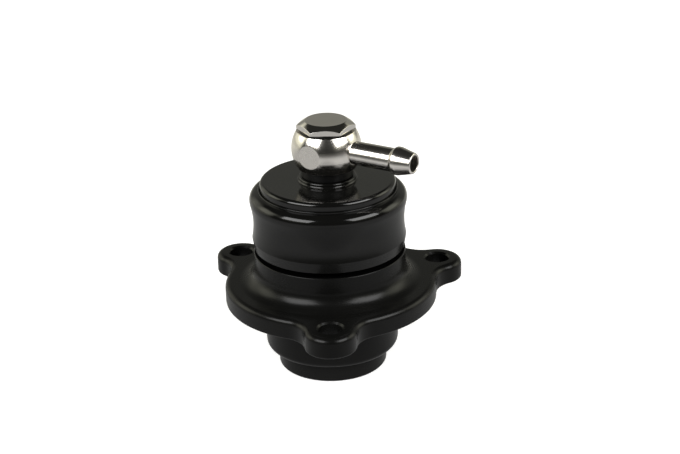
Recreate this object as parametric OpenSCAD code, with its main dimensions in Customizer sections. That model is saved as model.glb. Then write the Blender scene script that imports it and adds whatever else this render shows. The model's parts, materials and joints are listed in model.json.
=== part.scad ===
// Flange-mounted blow off valve: a sprung piston in a turned aluminium body,
// a waisted collar that clamps the cap, and a plated banjo fitting with a hose tail.
// The origin is the centre of the mounting face, with +Z up towards the banjo.

/* [Flange] */
// Diameter of the round flange
flange_d = 59.2; // [57.2:0.5:61.2]
// Thickness of the flange
flange_t = 5.7; // [4.6:0.1:7]
// Diameter of the circle through the bolt holes
bolt_circle_d = 65; // [63:0.2:67]
// Diameter of each bolt hole
bolt_hole_d = 6.6; // [5.6:0.1:7.2]
// Chamfer at the top of each bolt hole
hole_chamfer = 0.5; // [0.2:0.1:0.8]
// Radius of the round end of each lug
lug_r = 7; // [6.4:0.1:8]
// Radius of the hollow blend between a lug and the rim
lug_blend_r = 8; // [5:0.5:10]
// Direction of the lone lug, turned from the X axis
lone_lug_deg = 143; // [138:0.5:148]
// Direction of the front lug
front_lug_deg = 269.5; // [264:0.5:275]
// Direction of the right lug
right_lug_deg = 20; // [15:0.5:25]
// Bevel along the flange's top edge
edge_bevel = 1.2; // [0.4:0.1:1.6]
// Bevel along the flange's lower edge
low_bevel = 0.3; // [0.1:0.1:0.5]

/* [Spigot] */
// Diameter of the spigot below the flange
spigot_d = 37.3; // [36.6:0.1:39]
// Length of the spigot below the mounting face
spigot_len = 14.1; // [12.1:0.2:16.1]
// Round on the spigot's end
spigot_round = 2; // [0.4:0.1:2.4]
// Height of the lip inside the spigot that stops the piston
stop_lip_h = 4.6; // [3.6:0.2:5.6]

/* [Neck] */
// Diameter of the neck above the flange
neck_d = 42.2; // [41.4:0.2:44]
// Height of the neck above the flange
neck_h = 8.9; // [7:0.1:11]
// Radius of the cove between neck and flange
cove_r = 5; // [3:0.2:6]
// Diameter of the threaded land that the collar screws on
land_d = 39.5; // [38.6:0.1:40.2]
// Length of the threaded land above the thread relief
land_len = 9.65; // [7:0.05:11]
// Open height between the neck and the collar
groove_h = 1.35; // [0.8:0.05:3]
// Depth of the thread relief below the land
relief_depth = 0.5; // [0.2:0.1:0.8]
// Chamfer on the neck's upper edges
neck_chamfer = 0.3; // [0.1:0.1:0.5]
// Diameter of the piston bore
bore_d = 33; // [32:0.1:33.6]

/* [Collar] */
// Largest diameter of the collar
collar_d = 43.4; // [42.6:0.2:45]
// Diameter at the collar's waist
waist_d = 41.8; // [41.2:0.1:42.4]
// Height of the waist above the collar's foot
waist_up = 7.45; // [6.6:0.05:8.4]
// Radius of the hollow arc that forms the waist
waist_arc_r = 22; // [18:1:30]
// Diameter at the collar's foot
foot_d = 41.7; // [41.2:0.1:42.4]
// Taper of the collar's foot, from upright
foot_taper_deg = 9.5; // [5:0.5:15]
// Radius of the collar's round shoulder
shoulder_r = 2.7; // [2:0.1:2.7]
// Thickness of the lip that holds the cap down
collar_lip_t = 2.6; // [2:0.1:3.6]
// Height of the fine ring round the lip's hole, above the shoulder
lip_ring_h = 0.5; // [0.2:0.1:0.8]
// Width of that ring
lip_ring_w = 0.35; // [0.2:0.05:0.6]

/* [Cap] */
// Diameter of the cap where it stands in the collar
cap_d = 37.4; // [36.4:0.1:37.8]
// Height of the cap above the collar
cap_proud = 2.3; // [1.6:0.1:3]
// Round on the cap's top edge
cap_round = 1.1; // [0.4:0.1:1.4]
// Thickness of the cap's flange under the collar's lip
cap_flange_t = 4.7; // [3.5:0.1:6]
// Length of the cap's plug inside the bore
plug_len = 4.8; // [4:0.1:6]
// Diameter of the boss that carries the banjo
boss_d = 15.8; // [15.2:0.1:17]
// Height of the boss above the cap
boss_h = 1.2; // [1.2:0.1:3]
// Round on the boss's upper edge
boss_round = 0.4; // [0.2:0.1:0.4]
// Radius of the hollow fillet between boss and cap
boss_fillet_r = 0.6; // [0.2:0.1:0.7]
// Diameter of the thread boss inside the cap
inner_boss_d = 15; // [13:0.5:17]
// Drop of the thread boss below the spring seat
inner_boss_h = 2.5; // [1:0.5:4]

/* [Piston] */
// Diameter of the piston's nose
nose_d = 30.5; // [29.6:0.1:31]
// Length of nose that stands out of the spigot when closed
nose_out = 5.6; // [4:0.1:8]
// Round on the nose's bottom edge
nose_round = 0.8; // [0.4:0.1:1.2]
// Travel of the piston
lift = 8; // [5:0.5:9]
// Thickness of the piston's floor
floor_t = 5; // [3:0.1:6]
// Diameter of the spring pocket in piston and cap
pocket_d = 25.2; // [24.6:0.1:26]
// Diameter of the shallow dish in the nose's face
dish_d = 22; // [18:1:24]
// Depth of the shallow dish
dish_h = 1; // [0.5:0.1:1.5]

/* [Seals] */
// Section of the O-ring round the piston
piston_seal_d = 1.9; // [1.5:0.1:2.2]
// Section of the O-ring round the cap's plug
cap_seal_d = 1.7; // [1.4:0.1:2]
// Section of the O-ring in the mounting face
flange_seal_d = 1.9; // [1.6:0.1:2.4]
// Mean diameter of the O-ring in the mounting face
flange_seal_mean_d = 45.7; // [44:0.1:48]
// Width of the slide band round the piston
band_w = 4; // [3:0.2:6]
// Thickness of the slide band
band_t = 1; // [0.7:0.1:1.4]

/* [Spring] */
// Wire diameter of the spring
wire_d = 1.8; // [1.4:0.1:2.2]
// Mean diameter of the coil
coil_d = 22; // [21.4:0.1:22.6]
// Number of open turns
open_turns = 6; // [4:1:8]

/* [Banjo] */
// Diameter of the banjo's ball
ball_d = 19.2; // [18.4:0.1:20.6]
// Height of the ball between its flat faces
ball_h = 10.25; // [9:0.05:11]
// Diameter of the round flats on the ball's sides
ball_flat_d = 6.6; // [6:0.1:8]
// Diameter of the air ring inside the ball
air_ring_d = 12.6; // [11.6:0.1:13.4]
// Height of the air ring inside the ball
air_ring_h = 4.8; // [4.6:0.1:5.6]
// Direction of the hose tail, turned from the X axis
tail_deg = -32; // [-180:1:180]
// Distance of the tail's tip from the valve's axis
tail_reach = 27.2; // [24:0.2:34]
// Outer diameter of the tail's tube
tail_d = 6.4; // [6:0.1:6.8]
// Bore of the hose tail
tail_bore_d = 4.4; // [3.4:0.1:4.6]
// Diameter of the barb's ridge
barb_d = 7.7; // [7.2:0.1:8.2]
// Diameter of the tail's tip
tip_d = 5.6; // [5.2:0.1:6]
// Length of the barb's cone, from the land to the tip
barb_len = 4.3; // [3:0.1:6]
// Width of the land on the barb's ridge
barb_land = 1; // [0.6:0.1:1.6]
// Length of the slope behind the barb's ridge
barb_back = 0.9; // [0.5:0.1:1.6]

/* [Banjo bolt] */
// Width of the hexagon head across its flats
hex_af = 14; // [13.6:0.1:15]
// Height of the hexagon head
head_h = 2.35; // [2:0.05:4]
// Diameter of the flat disc on top of the head
head_disc_d = 11.6; // [11:0.1:12.6]
// Slope of the bevel round that disc
head_bevel_deg = 33; // [25:1:40]
// Turn of the head about the bolt's axis
head_turn_deg = -2; // [-30:1:30]
// Diameter of the bolt's shank
shank_d = 9.8; // [9:0.1:10.2]
// Depth that the shank screws into the cap
shank_in = 12; // [9:0.5:13]
// Diameter of the drilled air way in the bolt
bolt_bore_d = 4.4; // [3.6:0.1:5]
// Diameter of the cross holes in the bolt
cross_hole_d = 3.2; // [2.4:0.1:3.8]
// Thickness of the washer under the ball
lower_washer_t = 2.6; // [1.5:0.1:3.5]
// Thickness of the washer under the head
upper_washer_t = 0.5; // [0.4:0.1:1.2]
// Diameter of both sealing washers
washer_d = 14.2; // [13.4:0.1:14.6]

/* [Fits] */
// Radial gap of the sliding piston in its bores
running_gap = 0.08; // [0.05:0.01:0.1]
// Radial gap of a screwed pair
thread_gap = 0.05; // [0.03:0.01:0.1]
// Gap at each face of the turning banjo
turning_gap = 0.05; // [0.03:0.01:0.1]
// Gap between an O-ring and the wall it seals on
seal_gap = 0.03; // [0.02:0.01:0.06]
// Radial gap of a loose pair, such as a washer on the bolt
loose_gap = 0.2; // [0.1:0.05:0.3]

/* [Hidden] */
$fn = 96;

// Overlap of a cutter or a joined piece past a face
through = 1;

// Flange and lugs
flange_r = flange_d / 2;
bolt_r = bolt_circle_d / 2;
hole_r = bolt_hole_d / 2;
lug_angles = [lone_lug_deg, front_lug_deg, right_lug_deg];
// The blend circle touches both the rim and the lug's round end
blend_to_axis = flange_r + lug_blend_r;
blend_to_lug = lug_r + lug_blend_r;
blend_deg = acos((bolt_r^2 + blend_to_axis^2 - blend_to_lug^2) / (2 * bolt_r * blend_to_axis));
function way(deg) = [cos(deg), sin(deg)];
// The lugs start on the flat of the flange, between the cove and the bevelled rim
lug_root_r = (neck_d / 2 + cove_r + flange_r - edge_bevel) / 2;
// The filling's inner corner lies near the axis, so that its sides run out to where blend and rim touch
filling_root_r = 4;
// Small bite of the blend into the rim and the lug, so that the faces cross cleanly
blend_bite = 0.02;

// Spigot, neck and bore
spigot_r = spigot_d / 2;
neck_r = neck_d / 2;
land_r = land_d / 2;
bore_r = bore_d / 2;
neck_z = flange_t + neck_h;
collar_z = neck_z + groove_h;
neck_end_z = collar_z + land_len;
stop_z = stop_lip_h - spigot_len;

// Collar
collar_r = collar_d / 2;
foot_r = foot_d / 2;
cap_r = cap_d / 2;
collar_bore_r = land_r + thread_gap;
collar_lip_r = cap_r + loose_gap;
lip_z = neck_end_z + cap_flange_t;
collar_top_z = lip_z + collar_lip_t;
lip_face_z = collar_top_z - lip_ring_h;
foot_rise = (collar_r - foot_r) / tan(foot_taper_deg);

// Cap and the stack above it
cap_top_z = collar_top_z + cap_proud;
cap_flange_r = collar_bore_r - loose_gap;
plug_r = bore_r - running_gap;
plug_end_z = neck_end_z - plug_len;
pocket_r = pocket_d / 2;
spring_seat_t = 0.8;
spring_top_z = neck_end_z - spring_seat_t;
boss_r = boss_d / 2;
boss_top_z = cap_top_z + boss_h;
shank_r = shank_d / 2;
cap_hole_r = shank_r + thread_gap;
washer_hole_r = shank_r + loose_gap;
washer_r = washer_d / 2;
ball_base_z = boss_top_z + lower_washer_t + turning_gap;
ball_mid_z = ball_base_z + ball_h / 2;
ball_top_z = ball_base_z + ball_h;
upper_washer_z = ball_top_z + turning_gap;
head_z = upper_washer_z + upper_washer_t;
head_top_z = head_z + head_h;

// Piston and spring
nose_r = nose_d / 2;
nose_z = -spigot_len - nose_out;
guide_r = nose_r + running_gap;
skirt_r = bore_r - running_gap;
stop_gap = 0.05;
shoulder_z = stop_z + stop_gap;
end_gap = 0.3;
skirt_top_z = plug_end_z - lift - end_gap;
floor_z = nose_z + floor_t;
spring_r = coil_d / 2;

// Seal grooves: an O-ring fills its groove but for the named gaps
groove_slack = 0.4;
seal_from_top = 3;
band_from_shoulder = 4;
piston_seal_z = skirt_top_z - seal_from_top;
piston_seal_r = bore_r - seal_gap - piston_seal_d / 2;
band_z = shoulder_z + band_from_shoulder;
band_r = bore_r - running_gap / 2;
band_root_r = band_r - band_t;
cap_seal_z = neck_end_z - plug_len / 2;
cap_seal_r = bore_r - seal_gap - cap_seal_d / 2;
flange_seal_r = flange_seal_mean_d / 2;

// Banjo
ball_r = ball_d / 2;
ball_bore_r = shank_r + running_gap;
ball_flat_x = sqrt(ball_r^2 - (ball_flat_d / 2)^2);
tail_r = tail_d / 2;
tail_bore_r = tail_bore_d / 2;
air_ring_r = air_ring_d / 2;
barb_r = barb_d / 2;
tip_r = tip_d / 2;
cone_start = tail_reach - barb_len;
land_start = cone_start - barb_land;
tube_end = land_start - barb_back;

// Profiles and small shared shapes

// Solid of revolution about the valve's axis
module turned() {
    rotate_extrude() children();
}

// Half section of a disc of the flange's thickness, with both edges bevelled
module bevelled_half(r) {
    polygon([
        [0, 0], [r - low_bevel, 0], [r, low_bevel],
        [r, flange_t - edge_bevel], [r - edge_bevel, flange_t], [0, flange_t]
    ]);
}

// Rectangle from corner to corner in a half section
module band_section(r_in, r_out, z_low, z_high) {
    translate([r_in, z_low])
        square([r_out - r_in, z_high - z_low]);
}

// Half section of a disc whose lower edge is rounded
module round_below(r, z_low, z_high, edge_r) {
    band_section(0, r, z_low + edge_r, z_high);
    band_section(0, r - edge_r, z_low, z_high);
    translate([r - edge_r, z_low + edge_r])
        circle(edge_r);
}

// Half section of a disc whose upper edge is rounded
module round_above(r, z_low, z_high, edge_r) {
    band_section(0, r, z_low, z_high - edge_r);
    band_section(0, r - edge_r, z_low, z_high);
    translate([r - edge_r, z_high - edge_r])
        circle(edge_r);
}

// Half section of a hollow fillet round a wall that stands on a face
module cove(wall_r, face_z, hollow_r) {
    difference() {
        band_section(0, wall_r + hollow_r, face_z - through, face_z + hollow_r);
        translate([wall_r + hollow_r, face_z + hollow_r])
            circle(hollow_r);
    }
}

module o_ring(mean_r, section_d, z) {
    turned()
        translate([mean_r, z])
            circle(section_d / 2);
}

module washer(t, z) {
    translate([0, 0, z])
        difference() {
            cylinder(r = washer_r, h = t);
            translate([0, 0, -through])
                cylinder(r = washer_hole_r, h = t + 2 * through);
        }
}

// Base body

// Round-ended lugs, with plain filling between each lug and the rim
module lugs() {
    difference() {
        for (a = lug_angles) {
            translate(bolt_r * way(a))
                turned() bevelled_half(lug_r);
            linear_extrude(flange_t)
                polygon([
                    filling_root_r * way(a), blend_to_axis * way(a - blend_deg),
                    bolt_r * way(a), blend_to_axis * way(a + blend_deg)
                ]);
        }
        translate([0, 0, -through])
            cylinder(r = lug_root_r, h = flange_t + 2 * through);
    }
}

// Cutter that hollows the filling, flared at both ends so that the bevels run on round it
module lug_blends() {
    cut_r = lug_blend_r + blend_bite;
    for (a = lug_angles, side = [-1, 1])
        translate(blend_to_axis * way(a + side * blend_deg))
            turned()
                polygon([
                    [0, -through], [cut_r + low_bevel + through, -through], [cut_r, low_bevel],
                    [cut_r, flange_t - edge_bevel], [cut_r + edge_bevel + through, flange_t + through],
                    [0, flange_t + through]
                ]);
}

module bolt_holes() {
    for (a = lug_angles)
        translate(bolt_r * way(a)) {
            translate([0, 0, -through])
                cylinder(r = hole_r, h = flange_t + 2 * through);
            translate([0, 0, flange_t - hole_chamfer])
                cylinder(r1 = hole_r, r2 = hole_r + hole_chamfer + through, h = hole_chamfer + through);
        }
}

// Half section of everything on the base body that is turned
module base_half() {
    round_below(spigot_r, -spigot_len, flange_t / 2, spigot_round);
    bevelled_half(flange_r);
    cove(neck_r, flange_t, cove_r);
    polygon([
        [0, 0], [neck_r, 0], [neck_r, neck_z - neck_chamfer], [neck_r - neck_chamfer, neck_z],
        [land_r - relief_depth, neck_z], [land_r - relief_depth, collar_z], [land_r, collar_z + relief_depth],
        [land_r, neck_end_z - neck_chamfer], [land_r - neck_chamfer, neck_end_z], [0, neck_end_z]
    ]);
}

module base_body() {
    color("#1c1c1d")
        difference() {
            union() {
                turned() base_half();
                lugs();
            }
            translate([0, 0, stop_z])
                cylinder(r = bore_r, h = neck_end_z - stop_z + through);
            translate([0, 0, -spigot_len - through])
                cylinder(r = guide_r, h = stop_lip_h + 2 * through);
            turned()
                band_section(flange_seal_r - flange_seal_d / 2 - groove_slack,
                    flange_seal_r + flange_seal_d / 2 + groove_slack, -through, flange_seal_d + seal_gap);
            lug_blends();
            bolt_holes();
        }
}

module flange_seal() {
    color("#101010")
        o_ring(flange_seal_r, flange_seal_d, flange_seal_d / 2 + seal_gap);
}

// Collar and cap

module collar() {
    color("#202021")
        turned()
            difference() {
                union() {
                    polygon([
                        [0, collar_z], [foot_r, collar_z], [collar_r, collar_z + foot_rise],
                        [collar_r, lip_face_z - shoulder_r], [collar_r - shoulder_r, lip_face_z],
                        [0, lip_face_z]
                    ]);
                    translate([collar_r - shoulder_r, lip_face_z - shoulder_r])
                        circle(shoulder_r);
                    band_section(0, collar_lip_r + lip_ring_w, lip_z, collar_top_z);
                }
                translate([waist_d / 2 + waist_arc_r, collar_z + waist_up])
                    circle(waist_arc_r, $fn = 360);
                band_section(0, collar_bore_r, collar_z - through, lip_z);
                band_section(0, collar_lip_r, lip_z - through, collar_top_z + through);
            }
}

// Half section of the cap, before its hole is drilled
module cap_half() {
    band_section(0, plug_r, plug_end_z, neck_end_z + through);
    band_section(0, cap_flange_r, neck_end_z, lip_z);
    round_above(cap_r, lip_z - through, cap_top_z, cap_round);
    cove(boss_r, cap_top_z, boss_fillet_r);
    round_above(boss_r, cap_top_z - through, boss_top_z, boss_round);
}

module cap() {
    color("#191919")
        turned()
            difference() {
                cap_half();
                // Spring seat round the thread boss
                band_section(0, pocket_r, plug_end_z - through, spring_top_z - inner_boss_h);
                band_section(inner_boss_d / 2, pocket_r, plug_end_z - through, spring_top_z);
                // Groove of the cap's O-ring
                band_section(cap_seal_r - cap_seal_d / 2, plug_r + through,
                    cap_seal_z - cap_seal_d / 2 - groove_slack, cap_seal_z + cap_seal_d / 2 + groove_slack);
                band_section(0, cap_hole_r, plug_end_z - through, boss_top_z + through);
            }
}

module cap_seal() {
    color("#101010")
        o_ring(cap_seal_r, cap_seal_d, cap_seal_z);
}

// Piston, its rings and its spring

module piston_half() {
    round_below(nose_r, nose_z, shoulder_z + through, nose_round);
    band_section(0, skirt_r, shoulder_z, skirt_top_z);
}

module piston() {
    color("#1c1c1d")
        turned()
            difference() {
                piston_half();
                band_section(0, pocket_r, floor_z, skirt_top_z + through);
                band_section(0, dish_d / 2, nose_z - through, nose_z + dish_h);
                band_section(piston_seal_r - piston_seal_d / 2, skirt_r + through,
                    piston_seal_z - piston_seal_d / 2 - groove_slack,
                    piston_seal_z + piston_seal_d / 2 + groove_slack);
                band_section(band_root_r, skirt_r + through, band_z, band_z + band_w);
            }
}

module piston_seal() {
    color("#101010")
        o_ring(piston_seal_r, piston_seal_d, piston_seal_z);
}

module guide_band() {
    color("#6b4a2c")
        turned()
            band_section(band_root_r, band_r, band_z, band_z + band_w);
}

// Height of the wire's centre after a number of turns: one closed turn at each end
spring_turns = open_turns + 2;
closed_pitch = 1.04 * wire_d;
spring_low_z = floor_z + wire_d / 2;
spring_high_z = spring_top_z - wire_d / 2;
open_pitch = (spring_high_z - spring_low_z - 2 * closed_pitch) / open_turns;
function wire_z(turn) =
    turn < 1 ? spring_low_z + turn * closed_pitch
    : turn < spring_turns - 1 ? spring_low_z + closed_pitch + (turn - 1) * open_pitch
    : spring_high_z - (spring_turns - turn) * closed_pitch;

module main_spring() {
    wire_sides = 8;
    steps_per_turn = 20;
    steps = spring_turns * steps_per_turn;
    wire_points = [
        for (i = [0:steps], j = [0:wire_sides - 1])
            let (
                turn = i / steps_per_turn,
                around = 360 * j / wire_sides,
                r = spring_r + wire_d / 2 * cos(around)
            )
            [r * cos(360 * turn), r * sin(360 * turn), wire_z(turn) + wire_d / 2 * sin(around)]
    ];
    wire_faces = [
        for (i = [0:steps - 1], j = [0:wire_sides - 1])
            let (k = (j + 1) % wire_sides, a = i * wire_sides, b = a + wire_sides)
            [a + j, b + j, b + k, a + k]
    ];
    first_end = [for (j = [0:wire_sides - 1]) j];
    last_end = [for (j = [wire_sides - 1:-1:0]) steps * wire_sides + j];
    color("#9a9ca0")
        polyhedron(wire_points, concat(wire_faces, [first_end, last_end]));
}

// Banjo fitting, bolt and washers

module lower_washer() {
    color("#0d0d0d")
        washer(lower_washer_t, boss_top_z);
}

module upper_washer() {
    color("#26261f")
        washer(upper_washer_t, upper_washer_z);
}

module ball() {
    turned()
        intersection() {
            translate([0, ball_mid_z])
                circle(ball_r);
            band_section(0, ball_r, ball_base_z, ball_top_z);
        }
}

// Tail along +X from the valve's axis, before it is drilled
module tail() {
    translate([0, 0, ball_mid_z])
        rotate([0, 90, 0])
            turned()
                polygon([
                    [0, air_ring_r], [tail_r, air_ring_r], [tail_r, tube_end], [barb_r, land_start],
                    [barb_r, cone_start], [tip_r, tail_reach], [0, tail_reach]
                ]);
}

module banjo_fitting() {
    color("#c9c4bd")
        rotate(tail_deg)
            difference() {
                union() {
                    difference() {
                        ball();
                        // Round flats at the tail's root and on both sides of it
                        for (a = [-90, 0, 90])
                            rotate(a)
                                translate([ball_flat_x, -ball_r, ball_base_z])
                                    cube([ball_r, ball_d, ball_h]);
                    }
                    tail();
                }
                translate([0, 0, ball_base_z - through])
                    cylinder(r = ball_bore_r, h = ball_h + 2 * through);
                translate([0, 0, ball_mid_z - air_ring_h / 2])
                    cylinder(r = air_ring_r, h = air_ring_h);
                translate([0, 0, ball_mid_z])
                    rotate([0, 90, 0])
                        cylinder(r = tail_bore_r, h = tail_reach + through);
            }
}

// Hexagon head, bevelled to a flat disc on top
module head() {
    corner_r = hex_af / 2 / cos(30);
    disc_r = head_disc_d / 2;
    clear_r = corner_r + through;
    intersection() {
        translate([0, 0, head_z])
            rotate(head_turn_deg)
                cylinder(r = corner_r, h = head_h, $fn = 6);
        turned()
            polygon([
                [0, head_z - through], [clear_r, head_z - through],
                [clear_r, head_top_z - (clear_r - disc_r) * tan(head_bevel_deg)],
                [disc_r, head_top_z], [0, head_top_z]
            ]);
    }
}

module banjo_bolt() {
    end_z = boss_top_z - shank_in;
    drill_past = 0.5;
    drill_top_z = ball_mid_z + cross_hole_d / 2 + drill_past;
    color("#d4d0c8")
        difference() {
            union() {
                head();
                translate([0, 0, end_z])
                    cylinder(r = shank_r, h = head_z - end_z);
            }
            translate([0, 0, end_z - through])
                cylinder(d = bolt_bore_d, h = drill_top_z - end_z + through);
            for (a = [0, 90])
                translate([0, 0, ball_mid_z])
                    rotate([90, 0, a])
                        cylinder(d = cross_hole_d, h = shank_d + 2 * through, center = true);
        }
}

base_body();
flange_seal();
collar();
cap();
cap_seal();
piston();
piston_seal();
guide_band();
main_spring();
lower_washer();
banjo_fitting();
upper_washer();
banjo_bolt();
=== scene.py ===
import json
import math

import bmesh
import bpy
from bpy.props import FloatProperty, FloatVectorProperty, IntProperty, PointerProperty
from mathutils import Matrix, Vector


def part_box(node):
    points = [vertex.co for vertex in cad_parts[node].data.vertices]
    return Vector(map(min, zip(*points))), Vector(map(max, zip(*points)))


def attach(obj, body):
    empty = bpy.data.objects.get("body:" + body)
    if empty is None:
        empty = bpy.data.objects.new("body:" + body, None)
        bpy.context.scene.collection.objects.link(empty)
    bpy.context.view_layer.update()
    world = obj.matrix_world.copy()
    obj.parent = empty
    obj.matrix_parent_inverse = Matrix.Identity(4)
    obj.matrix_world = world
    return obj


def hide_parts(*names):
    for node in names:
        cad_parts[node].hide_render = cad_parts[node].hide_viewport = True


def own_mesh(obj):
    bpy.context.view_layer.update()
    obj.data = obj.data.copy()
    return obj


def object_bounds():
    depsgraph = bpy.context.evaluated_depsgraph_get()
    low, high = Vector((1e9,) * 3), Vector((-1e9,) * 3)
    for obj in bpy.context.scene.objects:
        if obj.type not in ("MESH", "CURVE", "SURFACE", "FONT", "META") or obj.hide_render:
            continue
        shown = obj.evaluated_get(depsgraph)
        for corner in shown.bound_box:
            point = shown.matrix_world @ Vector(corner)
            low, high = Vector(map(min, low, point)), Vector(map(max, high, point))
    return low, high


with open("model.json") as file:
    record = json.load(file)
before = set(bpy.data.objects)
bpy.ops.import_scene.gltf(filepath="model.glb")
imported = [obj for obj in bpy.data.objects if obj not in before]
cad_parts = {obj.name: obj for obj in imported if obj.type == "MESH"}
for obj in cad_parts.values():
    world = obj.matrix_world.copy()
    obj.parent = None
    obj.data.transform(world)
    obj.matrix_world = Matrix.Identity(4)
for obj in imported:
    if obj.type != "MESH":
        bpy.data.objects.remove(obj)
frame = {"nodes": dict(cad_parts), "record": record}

bl_info = {
    "name": "Blow Off Valve",
    "version": (1, 0, 0),
    "blender": (4, 5, 0),
    "location": "View3D > Sidebar > Valve",
    "description": "Dresses a flange-mounted blow off valve with a plated banjo fitting",
    "category": "Object",
}

MM = 0.001
CAD_BOX = [list(corner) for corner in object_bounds()]

# Steps of the turned shapes
TURN_STEPS = 192
TAIL_STEPS = 96
HOLE_STEPS = 64
RIM_STEPS = 72
BLEND_STEPS = 18
LUG_STEPS = 44
WAIST_STEPS = 20
SHOULDER_STEPS = 14
BALL_STEPS = 40
COIL_STEPS = 40
RING_SIDES = 24
WIRE_SIDES = 16

# Segments of the rounds, from the smallest to the widest
RIM_ROUND = 3
SOFT_ROUND = 4
FINE_ROUND = 8
EDGE_ROUND = 10
WIDE_ROUND = 12
COVE_ROUND = 20

# Degrees past which an edge is shaded as sharp, and past which the bolt head's edges are rounded
CREASE = 14
WIRE_CREASE = 40
HEAD_EDGE = 25

# Distances in metres below which places count as the same
CUT = 1e-8
LEVEL = 1e-7
THIN = 0.1e-6
SEAM = 0.2e-6
SAME = 1e-6
NEAR = 10e-6

HEX_SIDES = 6
# A face of the rounded edge never has more corners than this
EDGE_CORNERS = 8

# Pitch and depth of turning marks, then grain and depth of softer surfaces
TURNED_MARKS = (0.3 * MM, 2e-6)
BASE_MARKS = (0.35 * MM, 3e-6)
PISTON_MARKS = (0.3 * MM, 4e-6)
FLAT_MARKS = (0.25 * MM, 5e-6)
TAIL_MARKS = (0.3 * MM, 3e-6)
DISC_MARKS = (0.2 * MM, 12e-6)
GROOVE_GRAIN = (0.2 * MM, 6e-6)
RUBBER_GRAIN = (0.25 * MM, 8e-6)
FIBRE_GRAIN = (0.18 * MM, 6e-6)
BAND_GRAIN = (0.3 * MM, 6e-6)

# Grain of the unevenness in the finishes
SMUDGE_GRAIN = 9 * MM
PORE_GRAIN = 0.12 * MM
PLATE_GRAIN = 4 * MM
SPOT_GRAIN = 3 * MM
STREAK_GRAIN = 0.6 * MM

BLACK = (0, 0, 0)
WHITE = (1, 1, 1)


def length(name, description, millimetres):
    """A size that a user may change, shown in the scene's units."""
    return FloatProperty(name=name, description=description, default=millimetres * MM, unit="LENGTH")


def angle(name, description, degrees):
    """A direction or slope that a user may change."""
    return FloatProperty(
        name=name, description=description, default=math.radians(degrees), unit="ROTATION"
    )


def colour(name, description, red, green, blue):
    """A finish colour that a user may change."""
    return FloatVectorProperty(
        name=name,
        description=description,
        default=(red, green, blue),
        size=3,
        min=0,
        max=1,
        subtype="COLOR",
    )


def factor(name, description, value):
    """A share from 0 to 1 that a user may change."""
    return FloatProperty(
        name=name, description=description, default=value, min=0, max=1, subtype="FACTOR"
    )


def number(name, description, value):
    """A plain number that a user may change."""
    return FloatProperty(name=name, description=description, default=value)


# Sizes and colours


class FlangeSizes(bpy.types.PropertyGroup):
    """Plate with three bolt lugs."""

    disc_d: length("Disc", "Diameter of the round flange", 59.2)
    thickness: length("Thickness", "Thickness of the flange", 5.7)
    bolt_circle_d: length("Bolt circle", "Diameter of the circle through the bolt holes", 65)
    hole_d: length("Hole", "Diameter of each bolt hole", 6.6)
    hole_chamfer: length("Hole chamfer", "Chamfer at the top of each bolt hole", 0.5)
    hole_break: length("Hole break", "Small bevel at the bottom of each bolt hole", 0.2)
    lug_r: length("Lug", "Radius of the round end of each lug", 7)
    blend_r: length("Blend", "Radius of the hollow blend between a lug and the rim", 8)
    top_round: length("Top edge", "Round along the flange's top edge", 1.7)
    low_round: length("Lower edge", "Small round along the flange's lower edge", 0.45)
    lone_lug: angle("Lone lug", "Direction of the lone lug", 143)
    front_lug: angle("Front lug", "Direction of the front lug", 269.5)
    right_lug: angle("Right lug", "Direction of the right lug", 20)


class BodySizes(bpy.types.PropertyGroup):
    """Turned part of the base body, and the seal in its face."""

    spigot_d: length("Spigot", "Diameter of the spigot below the flange", 37.3)
    spigot_round: length("Spigot edge", "Round on the spigot's lower edge", 2)
    stop_lip_h: length("Stop lip", "Height of the lip that stops the piston", 4.6)
    neck_d: length("Neck", "Diameter of the neck above the flange", 42.2)
    neck_h: length("Neck height", "Height of the neck above the flange", 8.9)
    neck_round: length("Neck edge", "Round on the upper edges of neck and land", 0.3)
    inner_round: length("Bore edge", "Small round at the ends of the bores", 0.2)
    cove_r: length("Cove", "Radius of the cove between neck and flange", 4.6)
    cove_land: length("Cove land", "Width of the turned flat outside the cove", 1.2)
    land_d: length("Land", "Diameter of the threaded land", 39.5)
    relief: length("Relief", "Depth of the thread relief below the land", 0.5)
    bore_d: length("Bore", "Diameter of the piston bore", 33)
    guide_d: length("Guide", "Diameter of the bore that guides the nose", 30.66)
    seal_d: length("Seal", "Section of the O-ring in the mounting face", 1.9)
    seal_mean_d: length("Seal ring", "Mean diameter of that O-ring", 45.7)
    seal_slack: length("Seal slack", "Room beside the O-ring in its groove", 0.4)
    seal_gap: length("Seal gap", "Room above the O-ring in its groove", 0.03)


class CollarSizes(bpy.types.PropertyGroup):
    """Waisted collar that holds the cap down."""

    collar_d: length("Collar", "Largest diameter of the collar", 43.4)
    waist_d: length("Waist", "Diameter at the collar's waist", 41.8)
    waist_up: length("Waist height", "Height of the waist above the foot", 7.45)
    waist_arc_r: length("Waist arc", "Radius of the hollow arc that forms the waist", 22)
    waist_end: length("Waist end", "Round between the waist and the shoulder", 0.5)
    foot_d: length("Foot", "Diameter at the collar's foot", 41.7)
    foot_taper: angle("Foot taper", "Taper of the foot, from upright", 9.5)
    shoulder_r: length("Shoulder", "Radius of the round shoulder", 2.45)
    thread_d: length("Thread", "Diameter of the collar's bore", 39.6)
    lip_d: length("Lip", "Diameter of the hole in the collar's lip", 37.8)
    lip_t: length("Lip thickness", "Thickness of the lip", 2.6)
    lip_ring: length("Lip ring", "Width of the fine raised ring on the lip", 0.35)
    lip_step: length("Lip step", "Height of that ring above the shoulder", 0.5)
    edge_break: length("Edge", "Small round on the foot and outside the lip ring", 0.15)
    lip_break: length("Lip edge", "Small round inside the lip ring", 0.05)


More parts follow.
